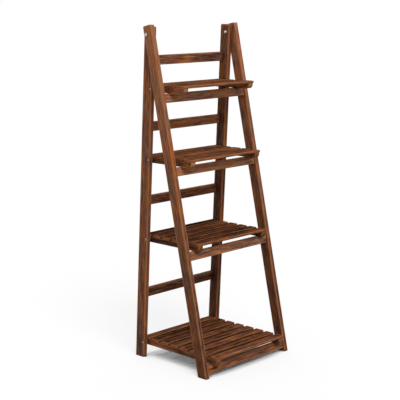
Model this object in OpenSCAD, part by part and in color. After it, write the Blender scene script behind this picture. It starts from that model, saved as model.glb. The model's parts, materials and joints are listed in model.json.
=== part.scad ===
// Folding plant ladder stand. Two leg frames hinge on a pair of top bolts. Four
// slatted shelves swing on bolts in the rear legs and hook over the front rails,
// which locks the stand open.
// Millimetres, +Z up, the front faces -Y. The origin is on the floor, in the
// middle of the stand's depth and width.

/* [Frames] */
// Width across the outer faces of the front legs
stand_w = 400; // [340:1:560]
// Height of the top pivot bolts above the floor
pivot_z = 1068; // [1040:1:1160]
// Lean of the front legs from upright, in degrees, feet forward
front_lean = 11.8; // [10.5:0.1:13.5]
// Lean of the rear legs from upright, in degrees, feet back
rear_lean = 3.7; // [2:0.1:5.5]
// Thickness of every leg, measured across the stand
leg_t = 16; // [14:0.5:20]
// Width of a front leg, seen from the side
front_leg_w = 37; // [33:0.5:42]
// Width of a rear leg, seen from the side
rear_leg_w = 38.5; // [33:0.5:42]
// Length of the front legs above the top pivot bolts
front_leg_top = 27.5; // [20:0.5:40]
// Length of the rear legs above the top pivot bolts
rear_leg_top = 25; // [20:0.5:40]
// Radius of the rounded corners at the top of every leg, seen from the side
leg_top_round = 7; // [2.5:0.5:12]
// How far the top bolt stands behind the middle of the front leg
front_bolt_back = 8.5; // [4:0.5:9]
// How far the top bolt stands ahead of the middle of the rear leg
rear_bolt_fwd = 7.5; // [4:0.5:9]
// Radius of the eased long edges of legs and rails
edge_round = 2; // [0.5:0.25:3]

/* [Rails] */
// Thickness of a front rail
front_rail_t = 14; // [11:0.5:18]
// Height of a front rail
front_rail_h = 29; // [24:0.5:32]
// Set-back of the front rails from the front faces of the legs
front_rail_inset = 4.5; // [1:0.5:6]
// Thickness of a rear rail
rear_rail_t = 14; // [10:0.5:15]
// Height of a rear rail
rear_rail_h = 30.5; // [24:0.5:40]
// Rise of the top rear rail's middle above the top shelf
rail_1_rise = 75; // [50:0.5:110]
// Rise of the second rear rail's middle above the second shelf
rail_2_rise = 90.5; // [50:0.5:150]
// Rise of the third rear rail's middle above the third shelf
rail_3_rise = 111; // [50:0.5:180]
// Rise of the bottom rear rail's middle above the bottom shelf
rail_4_rise = 150.5; // [50:0.5:250]
// Length of the tenons at the ends of every rail
tenon_len = 10; // [6:0.5:12]
// Thickness of the tenons
tenon_t = 7; // [5:0.5:9]
// Shoulder left above and below a tenon
tenon_shoulder = 5; // [3:0.5:8]

/* [Shelves] */
// Height of the top face of the top shelf
shelf_1_z = 910.5; // [880:0.5:940]
// Height of the top face of the second shelf
shelf_2_z = 682.5; // [650:0.5:720]
// Height of the top face of the third shelf
shelf_3_z = 419; // [380:0.5:460]
// Height of the top face of the bottom shelf
shelf_4_z = 64; // [62:0.5:100]
// Overhang of the top shelf ahead of its front rail
shelf_1_nose = 66; // [50:0.5:76]
// Overhang of the second shelf ahead of its front rail
shelf_2_nose = 47; // [36:0.5:70]
// Overhang of the third shelf ahead of its front rail
shelf_3_nose = 21.5; // [21:0.5:50]
// Overhang of the bottom shelf ahead of its front rail
shelf_4_nose = 24.5; // [21:0.5:50]
// Reach of the upper three shelves behind their pivot bolts
shelf_tail = 28.5; // [24:0.5:30]
// Reach of the bottom shelf behind its pivot bolts
bottom_shelf_tail = 21; // [19:0.5:30]

/* [Slats and battens] */
// Width of a slat
slat_w = 33; // [30:0.5:40]
// Thickness of a slat
slat_t = 8; // [6:0.5:10]
// Gap aimed for between slats, which sets how many fit
slat_gap = 11; // [7:0.5:15]
// Radius of the eased long edges of the slats
slat_round = 2.5; // [0.5:0.25:2.75]
// Overhang of the slats past the outer faces of the battens
slat_over = 1.5; // [0:0.5:3]
// Thickness of a batten, measured across the stand
batten_t = 20; // [14:0.5:24]
// Height of a batten
batten_h = 17; // [16:0.5:22]
// Set-back of a batten's nose behind the front edge of its shelf
nose_set = 2; // [1:0.5:3]
// Radius of a batten's nose
nose_r = 15.5; // [6:0.5:15.5]
// Climb of a batten's underside towards its nose, in degrees
nose_climb = 4; // [1:0.5:6]
// Set-back of a batten's rear end from the rear edge of its shelf
batten_end_set = 2; // [0:0.5:5]
// How far the hook reaches below the rest of a batten
hook_drop = 4; // [2:0.5:6]
// How far a front rail's corner stands up into the batten's underside
seat_depth = 1.2; // [0.5:0.1:2.5]

/* [Hardware] */
// Diameter of the top pivot bolts
top_bolt_d = 6; // [4:0.5:7]
// Diameter of the domed heads of the top pivot bolts
top_head_d = 10.5; // [9:0.5:12]
// Height of the domed heads of the top pivot bolts
top_head_h = 3.3; // [2:0.1:4.5]
// Diameter of the washers between and beside the legs
top_washer_d = 12; // [10:0.5:14]
// Thickness of the washers, which is the gap between front and rear legs
washer_t = 1; // [0.8:0.1:2]
// Size across the flats of the cap nuts on the top bolts
cap_nut_af = 10; // [8:0.5:11]
// Height of the hexagon of the cap nuts
cap_nut_h = 4; // [3:0.5:6]
// Height of the dome on a cap nut
cap_dome_h = 4; // [3:0.25:4]
// Diameter of the shelf pivot bolts
shelf_bolt_d = 5; // [4:0.5:5.5]
// Diameter of the sunk heads of the shelf pivot bolts
shelf_head_d = 9; // [7.5:0.5:9.5]
// Thickness of the sunk heads of the shelf pivot bolts
shelf_head_h = 2.8; // [2:0.1:4]
// Distance of the shelf bolts below the top of their shelf
shelf_bolt_drop = 13.5; // [13:0.5:16]
// Distance of the shelf bolts ahead of the middle of the rear legs
shelf_bolt_fwd = 11; // [8:0.5:11]
// Outside diameter of the spacers between rear legs and battens
spacer_d = 10; // [8:0.5:11]
// Length of those spacers
spacer_len = 6; // [3:0.5:10]
// Size across the flats of the shelf bolt nuts
shelf_nut_af = 8; // [7:0.5:9]
// Thickness of the shelf bolt nuts
shelf_nut_h = 4; // [3:0.5:5]
// Diameter of the brads that hold the slats
brad_d = 1.8; // [1.2:0.1:2.4]
// Diameter of the brad heads
brad_head_d = 2.8; // [2.6:0.1:4]
// Length of a brad with its head
brad_len = 19; // [14:0.5:22]
// Distance of a brad behind the middle of its slat
brad_set = 8; // [7:0.5:10]

/* [Fits] */
// Radial clearance of each bolt in its holes
bolt_fit = 0.05; // [0.02:0.01:0.1]
// Clearance round the tenons in their mortises
tenon_fit = 0.1; // [0.05:0.05:0.3]
// Gap between a front rail and the hook in front of it
hook_gap = 1.5; // [1:0.1:3]
// Gap over a front rail where a batten seats
seat_gap = 0.2; // [0.1:0.05:0.5]
// Clearance round a sunk bolt head and a brad head
head_fit = 0.3; // [0.1:0.05:0.5]

/* [Hidden] */
SHELVES = [1, 2, 3, 4];
SIDES = [["left", -1], ["right", 1]];
$fn = 48;
// Corners of a nut
hex = 6;
// Thickness of a brad's head
brad_head_t = 0.8;
// Radius of the rounded lower corner at a batten's rear end
batten_end_r = 6;
// Length of shelf bolt that shows past its nut
bolt_tip = 1.5;
// Hair's breadth by which joined forms pass into each other
slice = 0.01;

wood_leg = "#8a5b3d";
wood_rail = "#835538";
wood_slat = "#7b5036";
wood_batten = "#70462e";
steel = "#b9babb";

shelf_zs = [shelf_1_z, shelf_2_z, shelf_3_z, shelf_4_z];
noses = [shelf_1_nose, shelf_2_nose, shelf_3_nose, shelf_4_nose];
tails = [shelf_tail, shelf_tail, shelf_tail, bottom_shelf_tail];
rises = [rail_1_rise, rail_2_rise, rail_3_rise, rail_4_rise];

// Across the stand: each layer stands inside the one before it.
front_leg_x = stand_w / 2 - leg_t / 2;
front_leg_inner = stand_w / 2 - leg_t;
rear_leg_outer = front_leg_inner - washer_t;
rear_leg_x = rear_leg_outer - leg_t / 2;
rear_leg_inner = rear_leg_outer - leg_t;
batten_outer = rear_leg_inner - spacer_len;
batten_x = batten_outer - batten_t / 2;
batten_inner = batten_outer - batten_t;
slat_half = batten_outer + slat_over;

// A frame's own axes start at the top bolt: z runs up the leg, y across it.
front_mid = -front_bolt_back;
rear_mid = rear_bolt_fwd;
front_face = front_mid - front_leg_w / 2;
rear_face = rear_mid + rear_leg_w / 2;
front_rail_face = front_face + front_rail_inset;
shelf_bolt_across = rear_mid - shelf_bolt_fwd;

// Height up a leg of the point at world height z on the line y across the leg.
function up_front(y, z) = (z - pivot_z + y * sin(front_lean)) / cos(front_lean);
function up_rear(y, z) = (z - pivot_z - y * sin(rear_lean)) / cos(rear_lean);
// Distance behind the top bolt, level with the floor, of that point.
function back_front(y, z) = y * cos(front_lean) + up_front(y, z) * sin(front_lean);
function back_rear(y, z) = y * cos(rear_lean) - up_rear(y, z) * sin(rear_lean);

// Shelf s counts from 1 at the top. Depths here are behind the top bolt.
function top_z(s) = shelf_zs[s - 1];
function under_z(s) = top_z(s) - slat_t;
function low_z(s) = under_z(s) - batten_h;
function corner_z(s) = low_z(s) + seat_depth - seat_gap;
function corner_back(s) = back_front(front_rail_face, corner_z(s));
function bolt_z(s) = top_z(s) - shelf_bolt_drop;
function bolt_back(s) = back_rear(shelf_bolt_across, bolt_z(s));
function front_back(s) = corner_back(s) - noses[s - 1];
function tail_back(s) = bolt_back(s) + tails[s - 1];
function rail_up(s) = up_front(front_rail_face, corner_z(s)) - front_rail_h / 2;
function guard_up(s) = up_rear(rear_mid, top_z(s) + rises[s - 1]);

foremost = min([back_front(front_face, 0), for (s = SHELVES) front_back(s)]);
rearmost = max([back_rear(rear_face, 0), for (s = SHELVES) tail_back(s)]);
pivot_y = -(foremost + rearmost) / 2;

function shelf_front(s) = pivot_y + front_back(s);
function shelf_back(s) = pivot_y + tail_back(s);
function shelf_depth(s) = shelf_back(s) - shelf_front(s);
function slat_count(s) = round((shelf_depth(s) + slat_gap) / (slat_w + slat_gap));
function slat_pitch(s) = (shelf_depth(s) - slat_w) / (slat_count(s) - 1);
function slat_mid(s, n) = shelf_front(s) + slat_w / 2 + (n - 1) * slat_pitch(s);

function frame_names(part) = [for (side = SIDES) str(part, "_", side[0])];
function numbered(part) = [for (s = SHELVES) str(part, "_", s)];

// ---- Shared forms ---------------------------------------------------------

module on_front_frame() {
    translate([0, pivot_y, pivot_z]) rotate([-front_lean, 0, 0]) children();
}

module on_rear_frame() {
    translate([0, pivot_y, pivot_z]) rotate([rear_lean, 0, 0]) children();
}

// A flat outline in depth and height, given thickness across the stand.
module across(thickness) {
    rotate([90, 0, 90]) linear_extrude(thickness, center = true) children();
}

// A round bar or hole across the stand, from x0 to x1.
module cross_bar(d, x0, x1, sides = $fn) {
    translate([min(x0, x1), 0, 0]) rotate([0, 90, 0])
        cylinder(d = d, h = abs(x1 - x0), $fn = sides);
}

// A rectangle with its four corners eased.
module eased(w, h, r) {
    square([w, h - 2 * r], center = true);
    square([w - 2 * r, h], center = true);
    for (x = [-1, 1], y = [-1, 1])
        translate([x * (w / 2 - r), y * (h / 2 - r)]) circle(r);
}

// All the space under the floor, which cuts the feet level.
module below_floor() {
    translate([-stand_w, -pivot_z, -pivot_z]) cube([2 * stand_w, 2 * pivot_z, pivot_z]);
}

// A leg's bar, from its rounded top to two widths below the floor's depth.
module leg_bar(x, mid, w, top) {
    drop = pivot_z + 2 * w;
    length = drop + top;
    intersection() {
        translate([x, mid, -drop]) linear_extrude(length) eased(leg_t, w, edge_round);
        translate([x, mid, top - length / 2]) across(2 * leg_t)
            eased(w, length, leg_top_round);
    }
}

// A rail's bar between two shoulders, with a tenon at each end.
module rail_bar(half_span, mid, up, t, h) {
    translate([0, mid, up]) {
        across(2 * half_span) eased(t, h, edge_round);
        tenons(half_span, 0, h);
    }
}

// The pair of tenons of one rail as a bar, or as mortises with a clearance.
module tenons(half_span, fit, h) {
    span = 2 * (half_span + tenon_len + fit);
    cube([span, tenon_t + 2 * fit, h - 2 * tenon_shoulder + 2 * fit], center = true);
}

// A round-headed cap standing out along the direction given by side.
module dome(x, side, d, h) {
    ball = (d * d / 4 + h * h) / (2 * h);
    translate([x, 0, 0]) rotate([0, side * 90, 0]) rotate_extrude()
        intersection() {
            translate([0, h - ball]) circle(ball);
            square([d / 2, h]);
        }
}

// ---- Legs and rails -------------------------------------------------------

module front_leg(side) {
    front_rail_mid = front_rail_face + front_rail_t / 2;
    color(wood_leg) difference() {
        on_front_frame() leg_bar(side * front_leg_x, front_mid, front_leg_w, front_leg_top);
        below_floor();
        on_front_frame() {
            cross_bar(top_bolt_d + 2 * bolt_fit, -stand_w, stand_w);
            for (s = SHELVES) translate([0, front_rail_mid, rail_up(s)])
                tenons(front_leg_inner, tenon_fit, front_rail_h);
        }
    }
}

module rear_leg(side) {
    rear_rail_mid = rear_face - rear_rail_t / 2;
    sink = shelf_head_h + head_fit;
    color(wood_leg) difference() {
        on_rear_frame() leg_bar(side * rear_leg_x, rear_mid, rear_leg_w, rear_leg_top);
        below_floor();
        on_rear_frame() {
            cross_bar(top_bolt_d + 2 * bolt_fit, -stand_w, stand_w);
            for (s = SHELVES) {
                translate([0, rear_rail_mid, guard_up(s)])
                    tenons(rear_leg_inner, tenon_fit, rear_rail_h);
                translate([0, shelf_bolt_across, up_rear(shelf_bolt_across, bolt_z(s))]) {
                    cross_bar(shelf_bolt_d + 2 * bolt_fit, -stand_w, stand_w);
                    cross_bar(shelf_head_d + 2 * head_fit,
                        side * (rear_leg_outer - sink), side * stand_w);
                }
            }
        }
    }
}

module front_rail(s) {
    color(wood_rail) on_front_frame()
        rail_bar(front_leg_inner, front_rail_face + front_rail_t / 2, rail_up(s),
            front_rail_t, front_rail_h);
}

module rear_rail(s) {
    color(wood_rail) on_rear_frame()
        rail_bar(rear_leg_inner, rear_face - rear_rail_t / 2, guard_up(s),
            rear_rail_t, rear_rail_h);
}

// ---- Shelves --------------------------------------------------------------

module slat(s, n) {
    color(wood_slat) difference() {
        translate([0, slat_mid(s, n), top_z(s) - slat_t / 2])
            across(2 * slat_half) eased(slat_w, slat_t, slat_round);
        brad_holes(s, n);
    }
}

// The two holes of slat n, each sunk for its brad's head.
module brad_holes(s, n) {
    for (side = [-1, 1]) translate([side * batten_x, slat_mid(s, n) + brad_set, top_z(s)]) {
        translate([0, 0, -brad_len]) cylinder(d = brad_d + 2 * bolt_fit, h = brad_len);
        translate([0, 0, -brad_head_t])
            cylinder(d = brad_head_d + head_fit, h = 2 * brad_head_t);
    }
}

// A batten's side view: level top, hooked underside and rounded nose.
module batten_outline(s) {
    nose_y = shelf_front(s) + nose_set;
    end_y = shelf_back(s) - batten_end_set;
    wall_y = pivot_y + corner_back(s);
    hook_z = low_z(s) - hook_drop;
    r = nose_r;
    nose_c = [nose_y + r,
        hook_z + (wall_y - nose_y - r) * tan(nose_climb) + r / cos(nose_climb)];
    end_c = [end_y - batten_end_r, low_z(s) + batten_end_r];
    difference() {
        union() {
            translate(nose_c) circle(r);
            translate(end_c) circle(batten_end_r);
            polygon([
                [nose_y, under_z(s)],
                [nose_y, nose_c[1]],
                nose_c,
                nose_c - r * [sin(nose_climb), cos(nose_climb)],
                [wall_y, hook_z],
                [wall_y + seat_depth, low_z(s)],
                [end_c[0], low_z(s)],
                end_c,
                [end_y, end_c[1]],
                [end_y, under_z(s)]]);
        }
        rail_room(s);
        translate([nose_y - r, under_z(s)]) square([shelf_depth(s), 2 * r]);
    }
}

// What a batten leaves free for its front rail: over it and behind the hook.
module rail_room(s) {
    room = front_rail_t + seat_depth / sin(front_lean);
    translate([pivot_y, pivot_z]) rotate(-front_lean)
        translate([front_rail_face - hook_gap, rail_up(s) - front_rail_h / 2])
            square([room, front_rail_h + seat_gap]);
}

module batten(s, side) {
    color(wood_batten) difference() {
        translate([side * batten_x, 0, 0]) across(batten_t) batten_outline(s);
        translate([0, pivot_y + bolt_back(s), bolt_z(s)])
            cross_bar(shelf_bolt_d + 2 * bolt_fit, -stand_w, stand_w);
        for (n = [1:slat_count(s)]) brad_holes(s, n);
    }
}

module brads(s) {
    color(steel) for (n = [1:slat_count(s)], side = [-1, 1])
        translate([side * batten_x, slat_mid(s, n) + brad_set, top_z(s)]) {
            translate([0, 0, -brad_len]) cylinder(d = brad_d, h = brad_len);
            translate([0, 0, -brad_head_t]) cylinder(d = brad_head_d, h = brad_head_t);
        }
}

// ---- Top pivots -----------------------------------------------------------

module at_top_bolts() {
    translate([0, pivot_y, pivot_z]) for (side = [-1, 1]) mirror([side < 0 ? 1 : 0, 0, 0])
        children();
}

module top_pivot_bolts() {
    head_x = stand_w / 2 + washer_t;
    color(steel) at_top_bolts() {
        dome(head_x, 1, top_head_d, top_head_h);
        cross_bar(top_bolt_d, rear_leg_inner - washer_t - cap_nut_h, head_x + slice);
    }
}

module washer(d, bore, x) {
    difference() {
        cross_bar(d, x, x + washer_t);
        cross_bar(bore, x - washer_t, x + 2 * washer_t);
    }
}

module top_pivot_washers() {
    color(steel) at_top_bolts()
        for (x = [stand_w / 2, rear_leg_outer, rear_leg_inner - washer_t])
            washer(top_washer_d, top_bolt_d + 2 * bolt_fit, x);
}

module top_pivot_cap_nuts() {
    x0 = rear_leg_inner - washer_t - cap_nut_h;
    color(steel) at_top_bolts() {
        difference() {
            cross_bar(cap_nut_af / cos(180 / hex), x0, x0 + cap_nut_h, hex);
            cross_bar(top_bolt_d + 2 * bolt_fit, x0 - slice, x0 + 2 * cap_nut_h);
        }
        dome(x0, -1, cap_nut_af, cap_dome_h);
    }
}

// ---- Shelf pivots ---------------------------------------------------------

module at_shelf_bolts() {
    for (s = SHELVES, side = [-1, 1]) translate([0, pivot_y + bolt_back(s), bolt_z(s)])
        mirror([side < 0 ? 1 : 0, 0, 0]) children();
}

module shelf_pivot_bolts() {
    head_x = rear_leg_outer - head_fit - shelf_head_h;
    color(steel) at_shelf_bolts() {
        cross_bar(shelf_head_d, head_x, head_x + shelf_head_h);
        cross_bar(shelf_bolt_d, batten_inner - washer_t - shelf_nut_h - bolt_tip,
            head_x + slice);
    }
}

module shelf_pivot_spacers() {
    color(steel) at_shelf_bolts() difference() {
        cross_bar(spacer_d, batten_outer, rear_leg_inner);
        cross_bar(shelf_bolt_d + 2 * bolt_fit, batten_inner, rear_leg_outer);
    }
}

module shelf_pivot_washers() {
    color(steel) at_shelf_bolts()
        washer(spacer_d, shelf_bolt_d + 2 * bolt_fit, batten_inner - washer_t);
}

module shelf_pivot_nuts() {
    x0 = batten_inner - washer_t - shelf_nut_h;
    color(steel) at_shelf_bolts() difference() {
        cross_bar(shelf_nut_af / cos(180 / hex), x0, x0 + shelf_nut_h, hex);
        cross_bar(shelf_bolt_d + 2 * bolt_fit, x0 - shelf_nut_h, x0 + 2 * shelf_nut_h);
    }
}

// ---- The stand ------------------------------------------------------------

for (side = SIDES) {
    front_leg(side[1]);
    rear_leg(side[1]);
}
for (s = SHELVES) {
    front_rail(s);
    rear_rail(s);
    for (n = [1:slat_count(s)])
        slat(s, n);
    for (side = SIDES)
        batten(s, side[1]);
    brads(s);
}
top_pivot_bolts();
top_pivot_washers();
top_pivot_cap_nuts();
shelf_pivot_bolts();
shelf_pivot_spacers();
shelf_pivot_washers();
shelf_pivot_nuts();
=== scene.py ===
"""Dresses a folding plant ladder stand of carbonised softwood on zinc-plated pivots.

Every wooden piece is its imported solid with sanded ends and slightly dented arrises, and carries its
own place in a log, so that rings, fibres and knots run along each stick and differ from piece to
piece. The pivots' heads, nuts and thread ends are turned here. Lengths are metres, unless a name
ends in _mm, and the front of the stand faces -Y.
"""

import json
import logging
import math
import random
from dataclasses import dataclass
from enum import Enum
from functools import cache
from typing import Callable, Sequence

import bmesh
import bpy
from mathutils import Matrix, Vector, noise


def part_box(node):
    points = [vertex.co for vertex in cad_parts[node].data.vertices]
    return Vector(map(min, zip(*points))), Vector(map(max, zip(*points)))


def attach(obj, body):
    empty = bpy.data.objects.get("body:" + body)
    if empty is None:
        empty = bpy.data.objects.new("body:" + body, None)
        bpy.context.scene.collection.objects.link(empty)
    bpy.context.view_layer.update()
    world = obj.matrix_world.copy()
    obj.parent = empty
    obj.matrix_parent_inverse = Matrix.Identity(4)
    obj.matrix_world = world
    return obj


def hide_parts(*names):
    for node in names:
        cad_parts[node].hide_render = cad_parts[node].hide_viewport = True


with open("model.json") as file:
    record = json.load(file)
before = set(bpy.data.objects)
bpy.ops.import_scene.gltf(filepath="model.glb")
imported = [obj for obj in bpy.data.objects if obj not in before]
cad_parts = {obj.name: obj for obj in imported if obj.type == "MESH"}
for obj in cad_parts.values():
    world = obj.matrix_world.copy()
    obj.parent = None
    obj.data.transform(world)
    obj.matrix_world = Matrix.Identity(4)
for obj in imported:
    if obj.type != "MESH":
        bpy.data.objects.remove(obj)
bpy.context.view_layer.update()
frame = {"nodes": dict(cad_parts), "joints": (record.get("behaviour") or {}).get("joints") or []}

LOG = logging.getLogger("plant_ladder_stand")
MM = 0.001
WHITE = (1.0, 1.0, 1.0, 1.0)
OPENNESS_SAMPLES = 8
NOISE_LOW, NOISE_HIGH = 0.3, 0.7  # most of a noise texture's values lie between these
CHAMFER_DEG = 30.0
CHAMFER_SHARE = 0.47  # radius where a nut's chamfer starts, over its size across the flats
CHAMFER_STEPS = 4
HEXAGON_SIDES = 72
ROUND_SIDES = 48
DOME_STEPS = 12
DOME_TIP_SHARE = 0.02

Tree = bpy.types.NodeTree
Shape = bmesh.types.BMesh
Piece = bpy.types.Object
Socket = bpy.types.NodeSocket | float | int | tuple
RadiusRule = Callable[[float, float], float]
Station = tuple[float, RadiusRule]


# ---- Colour and shader helpers ----


def linear(hex_colour: str) -> tuple[float, float, float, float]:
    """Turns an sRGB hex colour into linear values.

    Args:
        hex_colour: Six hex digits with a leading #.

    Returns:
        Linear red, green and blue, with an alpha of 1.
    """
    channels = [int(hex_colour[i : i + 2], 16) / 255 for i in (1, 3, 5)]
    parts = [c / 12.92 if c <= 0.04045 else ((c + 0.055) / 1.055) ** 2.4 for c in channels]
    return (parts[0], parts[1], parts[2], 1.0)


def put(
    tree: Tree,
    kind: str,
    settings: dict[str, object] | None = None,
    inputs: dict[str | int, Socket] | None = None,
) -> bpy.types.Node:
    """Adds one shader node with its settings, values and links.

    Args:
        tree: The node tree that gets the node.
        kind: The node's type without its ShaderNode prefix.
        settings: Properties to set on the node.
        inputs: Values or output sockets for its inputs, by name or index.

    Returns:
        The new node.
    """
    node = tree.nodes.new("ShaderNode" + kind)
    for name, value in (settings or {}).items():
        setattr(node, name, value)
    for key, value in (inputs or {}).items():
        if isinstance(value, bpy.types.NodeSocket):
            tree.links.new(value, node.inputs[key])
        else:
            node.inputs[key].default_value = value
    return node


def fresh_material(name: str) -> tuple[bpy.types.Material, Tree]:
    """Makes a node material with no nodes.

    Args:
        name: The material's name.

    Returns:
        The material and its tree.
    """
    material = bpy.data.materials.new(name)
    material.use_nodes = True
    material.node_tree.nodes.clear()
    return material, material.node_tree


def fill_ramp(ramp: bpy.types.ColorRamp, stops: Sequence[tuple[float, tuple]]) -> None:
    """Gives a colour ramp its stops.

    Args:
        ramp: The ramp to fill.
        stops: Positions with their colours, in rising order.
    """
    while len(ramp.elements) < len(stops):
        ramp.elements.new(0.5)
    for element, (position, colour) in zip(ramp.elements, stops):
        element.position = position
        element.color = colour


def by_openness(
    tree: Tree, reach: float, shut: float, clear: float, values: tuple[float, float]
) -> Socket:
    """Gives a value by how open the space round a point is.

    Args:
        tree: The material's tree.
        reach: How far round the point the space counts.
        shut: The open share at which the point is closed in.
        clear: The open share at which it is clear.
        values: The value where it is closed in, and where it is clear.

    Returns:
        The value.
    """
    space = put(tree, "AmbientOcclusion", {"samples": OPENNESS_SAMPLES}, {"Distance": reach})
    return put(
        tree,
        "MapRange",
        inputs={
            "Value": space.outputs["AO"],
            "From Min": shut,
            "From Max": clear,
            "To Min": values[0],
            "To Max": values[1],
        },
    ).outputs["Result"]


# ---- Finishes ----


class BoardMark(str, Enum):
    """Names of the values that each wooden piece carries in its mesh."""

    PLACE = "board_mm"
    HALF = "half_mm"
    LOG = "log_mm"
    TONE = "tone"
    END = "end_grain"


@dataclass(frozen=True)
class CarbonisedPine:
    """Softwood browned by heat and planed, then rubbed with a nearly matt oil.

    The heat drives resin to the latewood, so the eye gets near-black streaks along the grain over
    reddish brown. Handling has rubbed the arrises orange, and narrow gaps get painted shade.
    A pattern's run is its length along the grain, and its plain size is its width across it.
    """

    name: str
    slot: str
    latewood: str = "#281710"
    heartwood: str = "#543626"
    earlywood: str = "#7d5039"
    sapwood: str = "#ac714e"
    rubbed: str = "#b9744a"
    sawn_end: str = "#8c573b"
    sawn_share: float = 0.45
    knot: str = "#1f0f08"
    # the colour of painted shade in narrow gaps
    pooled: str = "#1a0d07"
    fine_share: float = 0.55  # strength of each finer octave of noise
    ring_mm: float = 4.2
    ring_weight: float = 0.3
    ring_relief: float = 0.45
    # Real pores and fibres are too fine to show, so both are drawn as bundles of many.
    pore_mm: float = 0.45
    pore_run_mm: float = 9.0
    pore_weight: float = 0.3
    fibre_mm: float = 1.3
    fibre_run_mm: float = 32.0
    fibre_weight: float = 0.9
    streak_mm: float = 4.5
    streak_run_mm: float = 42.0
    streak_weight: float = 1.1
    blotch_mm: float = 22.0
    blotch_run_mm: float = 110.0
    blotch_weight: float = 1.1
    hue_mm: float = 5.0
    hue_run_mm: float = 36.0
    hue_drift: float = 0.024
    richness_drift: float = 0.14
    wander_mm: float = 5.0
    wander_run_mm: float = 210.0
    knot_cell_mm: float = 44.0  # each cell of the log holds one knot
    knot_run_mm: float = 190.0
    knot_core: float = 0.05
    knot_rim: float = 0.13
    knot_share: float = 0.85
    wear_mm: float = 2.6
    wear_patch_mm: float = 14.0
    wear_run_mm: float = 42.0
    wear_ragged: float = 2.2  # noise in the edge of the wear, over its width
    wear_fade: float = 0.6
    wear_share: float = 0.6
    # painted shade in narrow gaps, by how closed in the space round a point is
    pool_mm: float = 9.0
    pool_open: float = 0.93  # the open share from which no shade is painted
    pool_rise: float = 0.42
    pool_share: float = 0.5
    pool_fade_mm: float = 1.0
    pool_end_share: float = 0.3
    roughness: float = 0.62
    polish: float = 0.1
    dullness: float = 0.14
    ior: float = 1.48
    gloss: float = 0.06
    relief: float = 0.55
    relief_mm: float = 0.35

    @cache
    def material(self) -> bpy.types.Material:
        """Builds the wood, once, from the marks that each piece carries.

        Returns:
            The material.
        """
        made, tree = fresh_material(self.name)
        place, half, log, tone, end = (
            put(tree, "Attribute", {"attribute_name": mark.value}).outputs[output]
            for mark, output in zip(BoardMark, ("Vector", "Vector", "Vector", "Fac", "Fac"))
        )
        rings = self._rings(tree, log)
        pores, fibres, streaks, blotches, tints = (
            self._stretched_noise(tree, log, run_mm, across_mm, detail)
            for run_mm, across_mm, detail in (
                (self.pore_run_mm, self.pore_mm, 1.0),
                (self.fibre_run_mm, self.fibre_mm, 3.0),
                (self.streak_run_mm, self.streak_mm, 2.0),
                (self.blotch_run_mm, self.blotch_mm, 2.0),
                (self.hue_run_mm, self.hue_mm, 2.0),
            )
        )
        body = self._body(
            tree,
            tone,
            (
                (rings, -self.ring_weight),
                (pores, self.pore_weight),
                (fibres, self.fibre_weight),
                (streaks, self.streak_weight),
                (blotches, self.blotch_weight),
            ),
        )
        hue, richness, roughness = (
            put(
                tree,
                "MapRange",
                inputs={
                    "Value": value,
                    "From Min": NOISE_LOW,
                    "From Max": NOISE_HIGH,
                    "To Min": middle - less,
                    "To Max": middle + more,
                },
            ).outputs["Result"]
            for value, middle, less, more in (
                (tints, 0.5, self.hue_drift, self.hue_drift),
                (blotches, 1.0, self.richness_drift, self.richness_drift),
                (fibres, self.roughness, self.polish, self.dullness),
            )
        )
        drift = {"Hue": hue, "Saturation": richness, "Color": body}
        colour = put(tree, "HueSaturation", inputs=drift).outputs["Color"]
        sawn = put(tree, "Math", {"operation": "MULTIPLY"}, {0: end, 1: self.sawn_share})
        reach = put(tree, "VectorMath", {"operation": "ABSOLUTE"}, {0: place}).outputs[0]
        inset = put(tree, "VectorMath", {"operation": "SUBTRACT"}, {0: half, 1: reach}).outputs[0]
        for share, over in (
            (self._knots(tree, log), self.knot),
            (sawn.outputs[0], self.sawn_end),
            (self._wear(tree, inset, log), self.rubbed),
            # painted shade in narrow gaps and recesses
            (self._pooling(tree, inset), self.pooled),
        ):
            colour = put(
                tree, "MixRGB", inputs={"Fac": share, "Color1": colour, "Color2": linear(over)}
            ).outputs["Color"]
        relief = {0: rings, 1: self.ring_relief, 2: fibres}
        height = put(tree, "Math", {"operation": "MULTIPLY_ADD"}, relief).outputs[0]
        bump = put(
            tree,
            "Bump",
            inputs={"Strength": self.relief, "Distance": self.relief_mm * MM, "Height": height},
        )
        shader = put(
            tree,
            "BsdfPrincipled",
            inputs={
                "Base Color": colour,
                "Roughness": roughness,
                "IOR": self.ior,
                "Specular IOR Level": self.gloss,
                "Normal": bump.outputs["Normal"],
            },
        )
        put(tree, "OutputMaterial", inputs={"Surface": shader.outputs["BSDF"]})
        return made

    def _stretched_noise(
        self, tree: Tree, log: Socket, run_mm: float, across_mm: float, detail: float
    ) -> Socket:
        """Makes noise drawn out along the grain.

        Args:
            tree: The material's tree.
            log: The place in the log, in mm.
            run_mm: Length of one feature along the grain.
            across_mm: Width of one feature across the grain.
            detail: Octaves of finer noise.

        Returns:
            The noise, from 0 to 1.
        """
        scale = (1 / run_mm, 1 / across_mm, 1 / across_mm)
        at = put(tree, "VectorMath", {"operation": "MULTIPLY"}, {0: log, 1: scale})
        look = {"Scale": 1.0, "Detail": detail, "Roughness": self.fine_share}
        return put(tree, "TexNoise", inputs={"Vector": at.outputs[0], **look}).outputs["Fac"]

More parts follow.
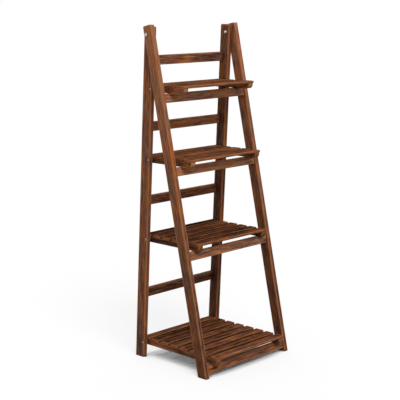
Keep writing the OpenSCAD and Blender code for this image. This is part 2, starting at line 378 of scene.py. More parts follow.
    def _rings(self, tree: Tree, log: Socket) -> Socket:
        """Makes growth rings round the pith, which wander along the grain.

        Args:
            tree: The material's tree.
            log: The place in the log, in mm.

        Returns:
            Latewood share, 0 in soft earlywood and 1 on a hard line.
        """
        at = put(
            tree,
            "VectorMath",
            {"operation": "MULTIPLY"},
            {0: log, 1: (1 / self.wander_run_mm, 1 / self.blotch_mm, 1 / self.blotch_mm)},
        )
        drift = put(tree, "TexNoise", inputs={"Vector": at.outputs[0], "Scale": 1.0, "Detail": 2.0})
        pushed = put(
            tree,
            "VectorMath",
            {"operation": "MULTIPLY_ADD"},
            {0: drift.outputs["Color"], 1: (0.0, 2 * self.wander_mm, 2 * self.wander_mm), 2: log},
        ).outputs[0]
        flat = put(tree, "VectorMath", {"operation": "MULTIPLY"}, {0: pushed, 1: (0.0, 1.0, 1.0)})
        span = put(tree, "VectorMath", {"operation": "LENGTH"}, {0: flat.outputs[0]})
        radius = span.outputs["Value"]
        count = put(tree, "Math", {"operation": "MULTIPLY"}, {0: radius, 1: 1 / self.ring_mm})
        turn = put(tree, "Math", {"operation": "FRACT"}, {0: count.outputs[0]})
        ramp = put(tree, "ValToRGB", inputs={"Fac": turn.outputs[0]})
        # The latewood hardens slowly towards its line and then stops short.
        stops = ((0.0, 0.0), (0.35, 0.1), (0.78, 1.0), (0.9, 0.85), (1.0, 0.0))
        fill_ramp(ramp.color_ramp, [(at, (hard, hard, hard, 1.0)) for at, hard in stops])
        return ramp.outputs["Color"]

    def _body(self, tree: Tree, tone: Socket, parts: Sequence[tuple[Socket, float]]) -> Socket:
        """Adds patterns, each about its middle, to the piece's tone, and colours the sum.

        Args:
            tree: The material's tree.
            tone: The piece's own lightness with its painted shade, 0 on an ordinary piece.
            parts: Patterns from 0 to 1, each with its weight.

        Returns:
            The wood's colour, from latewood to sapwood.
        """
        middle = 0.5 - sum(weight for _, weight in parts) / 2
        total = put(tree, "Math", {"operation": "ADD"}, {0: tone, 1: middle}).outputs[0]
        for value, weight in parts:
            total = put(
                tree, "Math", {"operation": "MULTIPLY_ADD"}, {0: value, 1: weight, 2: total}
            ).outputs[0]
        ramp = put(tree, "ValToRGB", inputs={"Fac": total})
        places = (0.08, 0.36, 0.62, 0.95)
        colours = (self.latewood, self.heartwood, self.earlywood, self.sapwood)
        fill_ramp(ramp.color_ramp, [(at, linear(colour)) for at, colour in zip(places, colours)])
        return ramp.outputs["Color"]

    def _knots(self, tree: Tree, log: Socket) -> Socket:
        """Makes sparse small knots.

        Args:
            tree: The material's tree.
            log: The place in the log, in mm.

        Returns:
            The knots' share of the colour.
        """
        scale = (1 / self.knot_run_mm, 1 / self.knot_cell_mm, 1 / self.knot_cell_mm)
        at = put(tree, "VectorMath", {"operation": "MULTIPLY"}, {0: log, 1: scale})
        cells = put(tree, "TexVoronoi", inputs={"Vector": at.outputs[0], "Scale": 1.0})
        spot = put(
            tree,
            "MapRange",
            {"interpolation_type": "SMOOTHSTEP"},
            {
                "Value": cells.outputs["Distance"],
                "From Min": self.knot_core,
                "From Max": self.knot_rim,
                "To Min": self.knot_share,
                "To Max": 0.0,
            },
        )
        return spot.outputs["Result"]

    def _pooling(self, tree: Tree, inset: Socket) -> Socket:
        """Paints shade into narrow recesses, where the space round a point is closed in.

        Args:
            tree: The material's tree.
            inset: The distances in from the board's sides, in mm.

        Returns:
            The share of painted shade, which fades towards the board's open ends.
        """
        shut = self.pool_open - self.pool_rise
        shares = (self.pool_share, 0.0)
        closed = by_openness(tree, self.pool_mm * MM, shut, self.pool_open, shares)
        kept = put(
            tree,
            "MapRange",
            inputs={
                "Value": put(tree, "SeparateXYZ", inputs={"Vector": inset}).outputs["X"],
                "From Max": self.pool_fade_mm,
                "To Min": self.pool_end_share,
            },
        )
        return put(
            tree, "Math", {"operation": "MULTIPLY"}, {0: closed, 1: kept.outputs["Result"]}
        ).outputs[0]

    def _wear(self, tree: Tree, inset: Socket, log: Socket) -> Socket:
        """Finds the rubbed arrises, where two of the insets are small.

        Args:
            tree: The material's tree.
            inset: The distances in from the board's sides, in mm.
            log: The place in the log, which breaks the wear into patches.

        Returns:
            How worn the surface is, from 0 to 1.
        """
        ones = (1.0, 1.0, 1.0)
        total = put(tree, "VectorMath", {"operation": "DOT_PRODUCT"}, {0: inset, 1: ones})
        split = put(tree, "SeparateXYZ", inputs={"Vector": inset})
        farthest = split.outputs["X"]
        for axis in ("Y", "Z"):
            farthest = put(
                tree, "Math", {"operation": "MAXIMUM"}, {0: farthest, 1: split.outputs[axis]}
            ).outputs[0]
        sides = {0: total.outputs["Value"], 1: farthest}
        edge = put(tree, "Math", {"operation": "SUBTRACT"}, sides)
        patch = self._stretched_noise(tree, log, self.wear_run_mm, self.wear_patch_mm, 3.0)
        ragged = put(
            tree,
            "Math",
            {"operation": "MULTIPLY_ADD"},
            {0: patch, 1: -self.wear_ragged * self.wear_mm, 2: edge.outputs[0]},
        )
        worn = put(
            tree,
            "MapRange",
            {"interpolation_type": "SMOOTHSTEP"},
            {
                "Value": ragged.outputs[0],
                "From Min": -self.wear_mm,
                "From Max": self.wear_fade * self.wear_mm,
                "To Min": self.wear_share,
                "To Max": 0.0,
            },
        )
        return worn.outputs["Result"]


@dataclass(frozen=True)
class PlatedSteel:
    """Turned or pressed steel under a thin plating or stain, with painted shade in its recesses.

    Bright zinc gives small sharp white glints, and a stained brad shows as a dull brown dot.
    """

    name: str
    slot: str
    colour: str
    shade: str
    metallic: float
    roughness: float
    roughness_drift: float = 0.08
    # the colour of painted shade in recesses, by how closed in the space round a point is
    grime: str = "#2b2420"
    grime_mm: float = 12.0
    grime_shut: float = 0.35
    grime_clear: float = 0.75
    grime_share: float = 0.9
    mottle_mm: float = 2.5
    relief: float = 0.15
    relief_mm: float = 0.05

    @cache
    def material(self) -> bpy.types.Material:
        """Builds the metal, once, with a faint mottle in colour and gloss, and painted shade in
        recesses.

        Returns:
            The material.
        """
        made, tree = fresh_material(self.name)
        at = put(tree, "TexCoord").outputs["Object"]
        cloud = put(
            tree,
            "TexNoise",
            inputs={"Vector": at, "Scale": 1 / (self.mottle_mm * MM), "Detail": 4.0},
        ).outputs["Fac"]
        values = (self.grime_share, 0.0)
        # painted shade where the space round a point is closed in
        recess_shaded = by_openness(tree, self.grime_mm * MM, self.grime_shut, self.grime_clear, values)
        colour: Socket = linear(self.shade)
        for share, over in ((cloud, self.colour), (recess_shaded, self.grime)):
            colour = put(
                tree, "MixRGB", inputs={"Fac": share, "Color1": colour, "Color2": linear(over)}
            ).outputs["Color"]
        rough = put(
            tree,
            "MapRange",
            inputs={
                "Value": cloud,
                "To Min": self.roughness - self.roughness_drift,
                "To Max": self.roughness + self.roughness_drift,
            },
        )
        bump = put(
            tree,
            "Bump",
            inputs={"Strength": self.relief, "Distance": self.relief_mm * MM, "Height": cloud},
        )
        shader = put(
            tree,
            "BsdfPrincipled",
            inputs={
                "Base Color": colour,
                "Metallic": self.metallic,
                "Roughness": rough.outputs["Result"],
                "Normal": bump.outputs["Normal"],
            },
        )
        put(tree, "OutputMaterial", inputs={"Surface": shader.outputs["BSDF"]})
        return made


class Stock(Enum):
    """The kinds of wooden stick, each with its finish."""

    LEG = CarbonisedPine(
        "carbonised_pine_leg",
        "leg_wood",
        streak_weight=0.8,
        blotch_weight=0.7,
        wear_mm=3.6,
        wear_share=0.62,
        pool_mm=14.0,
    )
    RAIL = CarbonisedPine("carbonised_pine_rail", "rail_wood", ring_mm=3.6, wear_share=0.35)
    SLAT = CarbonisedPine(
        "carbonised_pine_slat",
        "slat_wood",
        ring_mm=3.4,
        streak_weight=0.9,
        wear_mm=3.0,
        wear_share=0.62,
        # painted shade reaching far, which draws dark lines between the slats
        pool_mm=32.0,
        pool_open=0.98,
        pool_rise=0.2,
        pool_share=0.95,
        pool_fade_mm=60.0,
        gloss=0.0,
    )
    BATTEN = CarbonisedPine(
        "carbonised_pine_batten",
        "batten_wood",
        ring_mm=3.0,
        wear_share=0.4,
        sawn_end="#bf8860",
        sawn_share=0.8,
    )


class Metal(Enum):
    """The kinds of hardware, each with its finish."""

    PIVOT = PlatedSteel(
        "zinc_plated_steel",
        "pivot_steel",
        colour="#cdc6bb",
        shade="#a69f94",
        metallic=1.0,
        roughness=0.4,
    )
    BRAD = PlatedSteel(
        "stained_brad_steel",
        "brad_steel",
        colour="#6a4630",
        shade="#3d261a",
        metallic=0.55,
        roughness=0.5,
    )


# ---- Pieces ----


def closed_mesh(name: str, shape: Shape) -> bpy.types.Mesh:
    """Turns a closed shape into a mesh that faces outwards.

    Args:
        name: The mesh's name.
        shape: The shape, which is freed.

    Returns:
        The mesh.
    """
    bmesh.ops.recalc_face_normals(shape, faces=shape.faces)
    mesh = bpy.data.meshes.new(name)
    shape.to_mesh(mesh)
    shape.free()
    return mesh


def stand_in(
    mesh: bpy.types.Mesh, node: str, body: str, kind: Stock | Metal, sharp_deg: float = 30.0
) -> Piece:
    """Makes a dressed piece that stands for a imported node.

    Args:
        mesh: The piece's mesh, which also gives it its name.
        node: The node that it stands for.
        body: The body that it rides on.
        kind: What it is made from.
        sharp_deg: The bend from which an edge stays sharp.

    Returns:
        The finished piece.
    """
    mesh.shade_smooth()
    mesh.set_sharp_from_angle(angle=math.radians(sharp_deg))
    mesh.materials.append(kind.value.material())
    piece = bpy.data.objects.new(mesh.name, mesh)
    bpy.context.scene.collection.objects.link(piece)
    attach(piece, body)
    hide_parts(node)
    return piece


def dress_solid(node: str, kind: Metal) -> None:
    """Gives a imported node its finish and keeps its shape.

    Args:
        node: The node's name.
        kind: What it is made from.
    """
    solid = frame["nodes"][node]
    solid.data.materials.clear()
    solid.data.materials.append(kind.value.material())
    LOG.info("%s keeps its solid, in %s", node, kind.value.name)


# ---- Wooden sticks ----


@dataclass(frozen=True)
class Grain:
    """The directions of a stick: along its length, across its width and through its thickness."""

    along: Vector
    across: Vector
    through: Vector

    def matrix(self) -> Matrix:
        """Returns the turn from the stand's axes to the stick's own."""
        return Matrix((self.along, self.across, self.through))


@dataclass
class Stick:
    """One wooden piece: its solid with sanded ends, dented arrises and a place in a log."""

    node: str
    body: str
    stock: Stock
    grain: Grain
    tone: float = 0.0
    low_tone: float = 0.0  # painted shade, added in full at the end where the grain starts
    tone_spread: float = 0.04
    paleness: float = 1.0  # of its end grain
    board: str = ""  # another name here is another board of the same stock
    sanded_mm: float = 0.7
    station_mm: float = 22.0
    arris_deg: float = 8.0
    dent_mm: float = 0.45
    dent_run_mm: float = 33.0
    dent_across_mm: float = 17.0
    dent_floor: float = 0.05
    dent_seeds: float = 90.0
    pith_mm: tuple[float, float] = (14.0, 70.0)
    log_mm: float = 4000.0
    end_from: float = 0.3
    end_full: float = 0.8
    merge_mm: float = 0.002
    flat_deg: float = 0.5
    sharp_deg: float = 32.0

    def build(self) -> Piece:
        """Makes the stick and lets it stand for its solid.

        Returns:
            The finished piece.
        """
        shape = bmesh.new()
        shape.from_mesh(frame["nodes"][self.node].data)
        self._sand(shape)
        self._cut_stations(shape)
        self._dent(shape)
        mesh = closed_mesh(self.node + "_stick", shape)
        self._mark(mesh)
        piece = stand_in(mesh, self.node, self.body, self.stock, self.sharp_deg)
        level = piece.modifiers.new("flat_faces", "WEIGHTED_NORMAL")
        level.keep_sharp = True
        return piece

    def _sand(self, shape: Shape) -> None:
        """Clears the lines on flat faces and rounds every sharp edge a little.

        Args:
            shape: The stick's shape.
        """
        bmesh.ops.remove_doubles(shape, verts=shape.verts, dist=self.merge_mm * MM)
        bmesh.ops.dissolve_limit(
            shape,
            angle_limit=math.radians(self.flat_deg),
            verts=shape.verts,
            edges=shape.edges,
            delimit={"NORMAL"},
        )
        sharp = [
            edge
            for edge in shape.edges
            if edge.is_manifold and edge.calc_face_angle() > math.radians(self.sharp_deg)
        ]
        bmesh.ops.bevel(
            shape,
            geom=sharp,
            offset=self.sanded_mm * MM,
            offset_type="OFFSET",
            segments=2,
            profile=0.5,
            affect="EDGES",
            clamp_overlap=True,
        )

    def _cut_stations(self, shape: Shape) -> None:
        """Cuts the faces at even steps along the grain, so that the arrises can vary.

        Args:
            shape: The stick's shape.
        """
        reach = [vert.co.dot(self.grain.along) for vert in shape.verts]
        low, high = min(reach), max(reach)
        count = max(2, round((high - low) / (self.station_mm * MM)))
        for step in range(1, count):
            at = low + (high - low) * step / count
            bmesh.ops.bisect_plane(
                shape,
                geom=[*shape.verts, *shape.edges, *shape.faces],
                dist=self.merge_mm * MM,
                plane_co=self.grain.along * at,
                plane_no=self.grain.along,
            )

    def _dent(self, shape: Shape) -> None:
        """Presses shallow dents into the arrises, always inwards.

        Args:
            shape: The stick's shape.
        """
        shape.normal_update()
        seed = Vector((self._luck().uniform(0, self.dent_seeds), 0.0, 0.0))
        run, across = self.dent_run_mm, self.dent_across_mm
        moves = []
        for vert in shape.verts:
            bend = max((e.calc_face_angle(0.0) for e in vert.link_edges), default=0.0)
            if bend < math.radians(self.arris_deg):
                continue
            at = self.grain.matrix() @ vert.co / MM
            here = Vector((at.x / run, at.y / across, at.z / across)) + seed
            depth = noise.noise(here) - self.dent_floor
            moves.append((vert, max(0.0, depth) * self.dent_mm * MM))
        for vert, depth in moves:
            vert.co -= vert.normal * depth

    def _mark(self, mesh: bpy.types.Mesh) -> None:
        """Writes the stick's own places, its place in a log, its tone and its end grain.

        Args:
            mesh: The stick's mesh.
        """
        turn = self.grain.matrix()
        places = [turn @ vert.co / MM for vert in mesh.vertices]
        low = Vector([min(p[i] for p in places) for i in range(3)])
        high = Vector([max(p[i] for p in places) for i in range(3)])
        centre, half = (low + high) / 2, (high - low) / 2
        luck = self._luck()
        turned = math.radians(luck.uniform(0, 360))
        pith = luck.uniform(*self.pith_mm)
        shift = Vector(
            (luck.uniform(0, self.log_mm), pith * math.cos(turned), pith * math.sin(turned))
        )
        own = [place - centre for place in places]
        base = self.tone + luck.uniform(-self.tone_spread, self.tone_spread)
        # painted shade darkens the piece towards the end where the grain starts
        tones = [base + self.low_tone * (0.5 - place.x / half.x / 2) for place in own]
        rise = self.end_full - self.end_from
        ends = []
        for face in mesh.polygons:
            facing = abs(face.normal.dot(self.grain.along))
            ends.append(self.paleness * min(1.0, max(0.0, (facing - self.end_from) / rise)))
        for mark, values in (
            (BoardMark.PLACE, own),
            (BoardMark.HALF, [half] * len(own)),
            (BoardMark.LOG, [place + shift for place in own]),
        ):
            layer = mesh.attributes.new(mark.value, "FLOAT_VECTOR", "POINT")
            layer.data.foreach_set("vector", [part for value in values for part in value])
        for mark, domain, values in (
            (BoardMark.TONE, "POINT", tones),
            (BoardMark.END, "FACE", ends),
        ):
            layer = mesh.attributes.new(mark.value, "FLOAT", domain)
            layer.data.foreach_set("value", values)

    def _luck(self) -> random.Random:
        """Returns draws that depend on the piece's name and its board alone."""
        return random.Random(self.node + self.board)


# ---- Turned hardware ----


def hinge_points(start: str) -> list[Vector]:
    """Lists points on hinge lines, on the middle plane.

    Args:
        start: How the names of the joints start.

    Returns:
        One point for each such joint, in the frame's order.
    """
    return [Vector(j["pos_m"]) for j in frame["joints"] if j["name"].startswith(start)]


def least_reach(node: str) -> float:
    """Returns how near the node comes to the middle plane."""
    return min(abs(vert.co.x) for vert in frame["nodes"][node].data.vertices)


def plain(radius: float) -> RadiusRule:
    """Returns a rule for a round section."""
    return lambda x, angle: radius


def six_flats(flats: float, limit: float) -> RadiusRule:
    """Returns a rule for a hexagon whose corners are turned down.

    Args:
        flats: Size across the flats.
        limit: The most that a corner reaches from the axis.

    Returns:
        The rule for the section.
    """

    def rule(x: float, angle: float) -> float:
        """Gives the radius at an angle."""
        sixth = math.pi / 3
        off = (angle + sixth / 2) % sixth - sixth / 2
        return min(flats / 2 / math.cos(off), limit)

    return rule


def thread(outer: float, depth: float, pitch: float) -> RadiusRule:
    """Returns a rule for a screw thread.

    Args:
        outer: Radius over the crests.
        depth: Depth of the groove.
        pitch: Advance in one turn.

    Returns:
        The rule for the section.
    """

    def rule(x: float, angle: float) -> float:
        """Gives the radius at a distance and an angle."""
        turn = (x / pitch + angle / (2 * math.pi)) % 1.0
        return outer - depth * (1 - abs(2 * turn - 1))

    return rule


def dome_stations(base: float, radius: float, high: float) -> list[Station]:
    """Lists the sections of a dome that closes towards +X.

    Args:
        base: Where the dome starts.
        radius: Its radius there.
        high: Its height.

    Returns:
        The sections, from the base to the crown.
    """
    sections = []
    for step in range(DOME_STEPS):
        angle = math.pi / 2 * step / DOME_STEPS
        sections.append((base + high * math.sin(angle), plain(radius * math.cos(angle))))
    sections.append((base + high, plain(radius * DOME_TIP_SHARE)))
    return sections


@dataclass(frozen=True)
class Lathe:
    """Adds surfaces turned about the X axis to a shape, on one side of the stand.

    The axis runs from its point on the middle plane to the right where facing is 1, and to the
    left where it is -1.
    """

    shape: Shape
    at: Vector
    facing: int

    def corner(self, x: float, y: float, z: float) -> bmesh.types.BMVert:
        """Adds a corner at a distance along the axis and a place beside it."""
        return self.shape.verts.new(self.at + Vector((self.facing * x, y, z)))

    def stitch(self, rings: Sequence[Sequence[bmesh.types.BMVert]]) -> None:
        """Joins rings of corners into a closed surface.

        Args:
            rings: The rings from one end to the other, with the same count in each.
        """
        for near, far in zip(rings, rings[1:]):
            for side in range(len(near)):
                after = (side + 1) % len(near)
                self.shape.faces.new((near[side], near[after], far[after], far[side]))
        self.shape.faces.new(list(reversed(rings[0])))
        self.shape.faces.new(rings[-1])

    def turn(self, stations: Sequence[Station], sides: int = ROUND_SIDES) -> None:
        """Adds a closed surface whose radius may change along the axis and round it.

        Args:
            stations: Distances along the axis, each with the rule for its section.
            sides: Corners in each section.
        """
        rings = []
        for x, rule in stations:
            ring = []
            for side in range(sides):
                angle = 2 * math.pi * side / sides
                r = rule(x, angle)
                ring.append(self.corner(x, r * math.cos(angle), r * math.sin(angle)))
            rings.append(ring)
        self.stitch(rings)

    def hexagon(self, start: float, flats: float, high: float) -> None:
        """Adds a hexagon with its corners turned down at both ends.

        Args:
            start: Its face nearest to the middle plane.
            flats: Size across the flats.
            high: Its length along the axis.
        """
        corner = flats / 2 / math.cos(math.pi / 6)
        turned = CHAMFER_SHARE * flats
        fall = (corner - turned) * math.tan(math.radians(CHAMFER_DEG))
        stations: list[Station] = []
        for step in range(CHAMFER_STEPS + 1):
            share = step / CHAMFER_STEPS
            limit = turned + (corner - turned) * share
            stations.append((start + fall * share, six_flats(flats, limit)))
        mirrored = [(2 * start + high - x, rule) for x, rule in reversed(stations)]
        self.turn([*stations, *mirrored], HEXAGON_SIDES)


# ---- The stand's parts ----


class Side(Enum):
    """The two sides of the stand, seen from the front."""

    LEFT = -1
    RIGHT = 1

    @property
    def word(self) -> str:
        """The side's name in a node's name."""
        return self.name.lower()


@dataclass
class LegFrame:
    """Two legs and four rails that lean together, with the left leg and the top rail first."""

    which: str
    lean_deg: float  # from upright, positive with the feet forward
    leg_tones: tuple[float, float]
    rail_tones: tuple[float, float, float, float]
    # painted shade, added in full at the feet
    foot_tone: float
    leg_boards: tuple[str, str] = ("", "")

    def build(self) -> list[Piece]:
        """Makes the frame's legs and rails.

        Returns:
            The pieces that it made.
        """
        lean = math.radians(self.lean_deg)
        up = Vector((0.0, math.sin(lean), math.cos(lean)))
        back = Vector((0.0, math.cos(lean), -math.sin(lean)))
        across = Vector((1.0, 0.0, 0.0))
        body = self.which + "_frame"
        made = []
        for side, tone, board in zip(Side, self.leg_tones, self.leg_boards):
            node = f"{self.which}_leg_{side.word}"
            grain = Grain(up, back, across)
            leg = Stick(node, body, Stock.LEG, grain, tone, self.foot_tone, board=board)
            made.append(leg.build())
        for number, tone in enumerate(self.rail_tones, start=1):
            node = f"{self.which}_rail_{number}"
            rail = Stick(node, body, Stock.RAIL, Grain(across, up, back), tone)
            made.append(rail.build())
        return made


@dataclass
class Shelf:
    """A slatted shelf on two hooked battens."""

    number: int
    slats: int
    slat_tone: float
    batten_tone: float
    front_tone: float  # added on the front slat
    end_paleness: tuple[float, float] = (0.2, 0.2)  # of the left and the right batten
    slat_spread: float = 0.13

    def build(self) -> list[Piece]:
        """Makes the shelf's slats and battens, and dresses its brads.

        Returns:
            The pieces that it made.
        """
        body = f"shelf_{self.number}"
        x, y, z = Vector((1, 0, 0)), Vector((0, 1, 0)), Vector((0, 0, 1))
        made = []
        for n in range(1, self.slats + 1):
            node = f"{body}_slat_{n}"
            tone = self.slat_tone + (self.front_tone if n == 1 else 0.0)
            grain = Grain(x, y, z)
            slat = Stick(node, body, Stock.SLAT, grain, tone, tone_spread=self.slat_spread)
            made.append(slat.build())
        for side, pale in zip(Side, self.end_paleness):
            node = f"{body}_batten_{side.word}"
            grain = Grain(y, z, x)
            batten = Stick(node, body, Stock.BATTEN, grain, self.batten_tone, paleness=pale)
            made.append(batten.build())
        dress_solid(f"{body}_brads", Metal.BRAD)
        return made


@dataclass
class ShelfPivots:
    """Eight bolts that carry the shelves, with their washers, spacers and nuts."""

    bolt_mm: float = 5.0
    bolt_sides: int = 32
    head_mm: float = 9.0
    head_high_mm: float = 2.8
    rim_mm: float = 1.1
    crown_rings: int = 14
    crown_sides: int = 64
    cross_long_mm: float = 2.5
    cross_wide_mm: float = 0.75
    cross_deep_mm: float = 1.5
    cross_end_mm: float = 0.7
    cross_wall_mm: float = 0.25
    pitch_mm: float = 0.8
    pitch_steps: int = 6
    groove_mm: float = 0.42
    nut_flats_mm: float = 8.0
    nut_high_mm: float = 4.0
    tip_mm: float = 1.5
    tip_share: float = 0.72

    def build(self) -> list[Piece]:
        """Turns the bolts and nuts, and dresses the washers and spacers.

        Returns:
            The pieces that it made.
        """
        head_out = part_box("shelf_pivot_bolts")[1].x
        nut_in = least_reach("shelf_pivot_nuts")
        bolts, nuts = bmesh.new(), bmesh.new()
        for at in hinge_points("shelf_"):
            for side in Side:
                self._bolt(Lathe(bolts, at, side.value), head_out, nut_in)
                nut = Lathe(nuts, at, side.value)
                nut.hexagon(nut_in, self.nut_flats_mm * MM, self.nut_high_mm * MM)
        made = []
        for node, shape in (("shelf_pivot_bolts", bolts), ("shelf_pivot_nuts", nuts)):
            mesh = closed_mesh(node + "_turned", shape)
            made.append(stand_in(mesh, node, "rear_frame", Metal.PIVOT))
        for node in ("shelf_pivot_spacers", "shelf_pivot_washers"):
            dress_solid(node, Metal.PIVOT)
        return made

    def _bolt(self, lathe: Lathe, head_out: float, nut_in: float) -> None:
        """Turns one pan-headed bolt with a cross recess and a threaded tip.

        Args:
            lathe: The bolt's axis.
            head_out: How far the head reaches from the middle plane.
            nut_in: How near the nut comes to the middle plane.
        """
        head, high, rim = self.head_mm / 2 * MM, self.head_high_mm * MM, self.rim_mm * MM
        shank, pitch = self.bolt_mm / 2 * MM, self.pitch_mm * MM
        tip = nut_in - self.tip_mm * MM
        thread_end = nut_in + self.nut_high_mm * MM
        cut = thread(shank, self.groove_mm * MM, pitch)
        stations: list[Station] = [(tip, plain(shank * self.tip_share))]
        steps = round((thread_end - tip) / (pitch / self.pitch_steps))
        for step in range(1, steps):
            stations.append((tip + (thread_end - tip) * step / steps, cut))
        under = head_out - high
        stations += [(thread_end, plain(shank)), (under, plain(shank)), (under, plain(head))]
        stations.append((under + rim, plain(head)))
        lathe.turn(stations, self.bolt_sides)
        self._crown(lathe, under + rim)

    def _crown(self, lathe: Lathe, base: float) -> None:
        """Adds the domed top of a head, with its cross recess pressed in.

        Args:
            lathe: The bolt's axis.
            base: Where the dome starts, from the middle plane.
        """
        radius = self.head_mm / 2 * MM
        crown = self.head_high_mm * MM - self.rim_mm * MM
        ball = (radius * radius + crown * crown) / (2 * crown)
        rings = []  # the last of them leaves a tiny flat on the axis
        for number in range(self.crown_rings + 1):
            r = radius * (1 - number / (self.crown_rings + 0.5))
            ring = []
            for side in range(self.crown_sides):
                angle = 2 * math.pi * side / self.crown_sides
                y, z = r * math.cos(angle), r * math.sin(angle)
                rise = math.sqrt(max(ball * ball - r * r, 0.0)) - (ball - crown)
                rise -= self._recess(y / MM, z / MM) * MM
                ring.append(lathe.corner(base + rise, y, z))
            rings.append(ring)
        lathe.stitch(rings)

    def _recess(self, y: float, z: float) -> float:
        """Measures the cross recess at a point of the head, in millimetres.

        Args:
            y: The point's first distance from the axis.
            z: Its second.

        Returns:
            The recess's depth there.
        """
        deepest = 0.0
        for long, wide in ((abs(y), abs(z)), (abs(z), abs(y))):
            ends = min(1.0, max(0.0, (self.cross_long_mm - long) / self.cross_end_mm))
            walls = min(1.0, max(0.0, (self.cross_wide_mm - wide) / self.cross_wall_mm))
            deepest = max(deepest, self.cross_deep_mm * ends * walls)
        return deepest


@dataclass
class TopPivots:
    """The two bolts that hinge the frames, with their washers and cap nuts."""

    bolt_mm: float = 6.0
    head_mm: float = 10.5
    head_high_mm: float = 3.3
    nut_flats_mm: float = 10.0
    nut_high_mm: float = 4.0
    dome_high_mm: float = 4.0
    dome_share: float = 0.46  # its radius over the size across the flats
    dome_root_mm: float = 0.2  # the part of it inside the hexagon
    lip_mm: float = 0.5

    def build(self) -> list[Piece]:
        """Turns the bolts and cap nuts, and dresses the washers.

        Returns:
            The pieces that it made.
        """
        at = hinge_points("rear_fold")[0]
        head_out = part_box("top_pivot_bolts")[1].x
        dome_in = least_reach("top_pivot_cap_nuts")
        nut_in = dome_in + self.dome_high_mm * MM
        bolts, nuts = bmesh.new(), bmesh.new()
        for side in Side:
            self._bolt(Lathe(bolts, at, side.value), head_out, nut_in)
            self._cap_nut(Lathe(nuts, at, side.value), nut_in)
        made = []
        for node, shape in (("top_pivot_bolts", bolts), ("top_pivot_cap_nuts", nuts)):
            mesh = closed_mesh(node + "_turned", shape)
            made.append(stand_in(mesh, node, "front_frame", Metal.PIVOT))
        dress_solid("top_pivot_washers", Metal.PIVOT)
        return made

    def _bolt(self, lathe: Lathe, head_out: float, nut_in: float) -> None:
        """Turns one bolt with a smooth domed head and a low lip.

        Args:
            lathe: The bolt's axis.
            head_out: How far the head reaches from the middle plane.
            nut_in: Where the shank starts, inside the cap nut.
        """
        shank, head = self.bolt_mm / 2 * MM, self.head_mm / 2 * MM
        high, lip = self.head_high_mm * MM, self.lip_mm * MM
        under = head_out - high
        stations = [(nut_in, plain(shank)), (under, plain(shank)), (under, plain(head))]
        lathe.turn(stations + dome_stations(under + lip, head, high - lip))

    def _cap_nut(self, lathe: Lathe, nut_in: float) -> None:
        """Turns one cap nut, a hexagon under a dome that faces the middle plane.

        Args:
            lathe: The nut's axis.
            nut_in: Where the dome ends and the hexagon starts.
        """
        flats, root = self.nut_flats_mm * MM, self.dome_root_mm * MM
        lathe.hexagon(nut_in, flats, self.nut_high_mm * MM)
        dome = self.dome_high_mm * MM + root
        sections = dome_stations(-(nut_in + root), self.dome_share * flats, dome)
        lathe.turn([(-x, rule) for x, rule in sections])


# ---- Studio ----


@dataclass(frozen=True)
class Lamp:
    """One wide, distant lamp."""

    name: str
    source: tuple[float, float, float]
    strength: float
    spread_deg: float

    def build(self) -> None:
        """Hangs the lamp on the side that its light comes from."""
        data = bpy.data.lights.new(self.name, "SUN")
        data.energy = self.strength
        data.angle = math.radians(self.spread_deg)
        lamp = bpy.data.objects.new(self.name, data)
        lamp.rotation_mode = "QUATERNION"
        lamp.rotation_quaternion = Vector(self.source).normalized().to_track_quat("Z", "Y")
        bpy.context.scene.collection.objects.link(lamp)


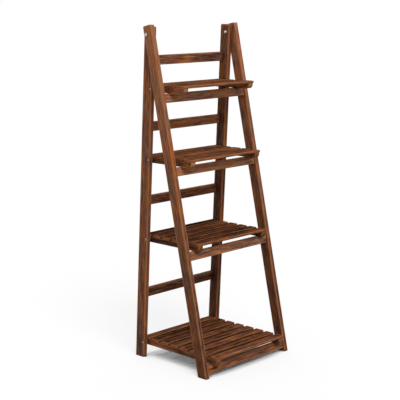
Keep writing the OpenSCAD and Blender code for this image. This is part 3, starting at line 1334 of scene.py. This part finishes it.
@dataclass
class Studio:
    """A white floor and surround, soft light, and the camera."""

    lamps: tuple[Lamp, ...] = (
        Lamp("key", source=(-0.42, -1.05, 1.2), strength=1.7, spread_deg=30.0),
        Lamp("side", source=(-0.75, -0.62, 0.35), strength=0.25, spread_deg=35.0),
        Lamp("back", source=(0.6, 0.8, 0.12), strength=1.0, spread_deg=70.0),
    )
    ambient: float = 0.55
    floor_half: float = 40.0
    floor_share: float = 0.25  # of its white that is lit, while the rest glows
    # painted shadow: the floor's glow fades where the stand closes it in
    floor_reach: float = 0.25
    floor_shut: float = 0.3
    floor_clear: float = 0.5
    eye_from_pivot: tuple[float, float, float] = (-2.4987, -2.4775, 0.0936)
    yaw_deg: float = -45.637
    pitch_deg: float = -10.392
    roll_deg: float = -0.451
    focus_px: float = 1070.2
    picture_px: float = 400.0
    film_mm: float = 36.0

    def build(self) -> None:
        """Sets up the floor, the surround, the lamps and the camera."""
        bpy.context.scene.view_settings.view_transform = "Standard"
        self._surround()
        self._floor()
        for lamp in self.lamps:
            lamp.build()
        self._camera()

    def _seen(self, tree: Tree) -> Socket:
        """Tells which rays look straight at the studio, or by way of metal.

        Args:
            tree: The material's or the world's tree.

        Returns:
            1 for such a ray, and 0 for one that lights the stand.
        """
        path = put(tree, "LightPath")
        seen = path.outputs["Is Camera Ray"]
        for other in ("Is Glossy Ray", "Is Transmission Ray"):
            seen = put(
                tree, "Math", {"operation": "MAXIMUM"}, {0: seen, 1: path.outputs[other]}
            ).outputs[0]
        return seen

    def _surround(self) -> None:
        """Makes a world that looks white and lights softly."""
        world = bpy.data.worlds.new("studio_white")
        bpy.context.scene.world = world
        world.use_nodes = True
        tree = world.node_tree
        tree.nodes.clear()
        level = put(
            tree,
            "MapRange",
            inputs={"Value": self._seen(tree), "To Min": self.ambient, "To Max": 1.0},
        )
        light = {"Color": WHITE, "Strength": level.outputs["Result"]}
        glow = put(tree, "Background", inputs=light)
        put(tree, "OutputWorld", inputs={"Surface": glow.outputs["Background"]})

    def _floor(self) -> None:
        """Lays a white floor that keeps a soft shadow, with painted shadow where the stand closes it
        in.
        """
        shape = bmesh.new()
        bmesh.ops.create_grid(shape, x_segments=1, y_segments=1, size=self.floor_half)
        mesh = bpy.data.meshes.new("studio_floor")
        shape.to_mesh(mesh)
        shape.free()
        made, tree = fresh_material("studio_paper")
        share = self.floor_share
        matte = put(tree, "BsdfDiffuse", inputs={"Color": (share, share, share, 1.0)})
        values = (0.0, 1.0 - share)
        # painted shadow under and beside the stand
        clear = by_openness(tree, self.floor_reach, self.floor_shut, self.floor_clear, values)
        lit = put(tree, "Math", {"operation": "MULTIPLY"}, {0: self._seen(tree), 1: clear})
        glow = put(tree, "Emission", inputs={"Color": WHITE, "Strength": lit.outputs[0]})
        both = put(tree, "AddShader", inputs={0: matte.outputs[0], 1: glow.outputs[0]})
        put(tree, "OutputMaterial", inputs={"Surface": both.outputs[0]})
        mesh.materials.append(made)
        floor = bpy.data.objects.new("studio_floor", mesh)
        bpy.context.scene.collection.objects.link(floor)

    def _camera(self) -> None:
        """Places the camera to the left of the front, a little above the top."""
        yaw, pitch, roll = (
            math.radians(turn) for turn in (self.yaw_deg, self.pitch_deg, self.roll_deg)
        )
        look = Vector(
            (-math.sin(yaw) * math.cos(pitch), math.cos(yaw) * math.cos(pitch), math.sin(pitch))
        )
        level = look.cross(Vector((0.0, 0.0, 1.0))).normalized()
        rise = level.cross(look)
        right = level * math.cos(roll) + rise * math.sin(roll)
        up = rise * math.cos(roll) - level * math.sin(roll)
        data = bpy.data.cameras.new("camera")
        data.sensor_width = self.film_mm
        data.lens = self.focus_px / self.picture_px * self.film_mm
        camera = bpy.data.objects.new("camera", data)
        turn = Matrix((right, up, -look)).transposed().to_4x4()
        eye = hinge_points("rear_fold")[0] + Vector(self.eye_from_pivot)
        camera.matrix_world = Matrix.Translation(eye) @ turn
        bpy.context.scene.collection.objects.link(camera)
        bpy.context.scene.camera = camera


# ---- Whole stand ----


def main() -> None:
    """Builds the stand's parts in order and reports each piece."""
    logging.basicConfig(level=logging.INFO, format="%(name)s: %(message)s")
    # The tones are partly each piece's own and partly painted shade, lower for the lower rails and
    # shelves.
    parts = [
        LegFrame(
            "front",
            lean_deg=11.8,
            leg_tones=(0.34, 0.27),
            rail_tones=(0.36, 0.44, 0.22, 0.08),
            foot_tone=-0.5,
            leg_boards=("d", ""),
        ),
        LegFrame(
            "rear",
            lean_deg=-3.7,
            leg_tones=(0.2, -0.04),
            rail_tones=(0.05, 0.18, 0.0, -0.06),
            foot_tone=-0.2,
        ),
        Shelf(1, 4, slat_tone=-0.12, batten_tone=0.08, front_tone=0.14, end_paleness=(0.8, 0.7)),
        Shelf(2, 5, slat_tone=-0.06, batten_tone=0.0, front_tone=0.02, end_paleness=(1.0, 0.15)),
        Shelf(3, 6, slat_tone=-0.28, batten_tone=-0.3, front_tone=0.16),
        Shelf(4, 8, slat_tone=-0.16, batten_tone=-0.04, front_tone=0.2),
        TopPivots(),
        ShelfPivots(),
    ]
    for part in parts:
        for piece in part.build():
            LOG.info("%s has %d faces", piece.name, len(piece.data.polygons))
    Studio().build()


if __name__ == "__main__":
    main()
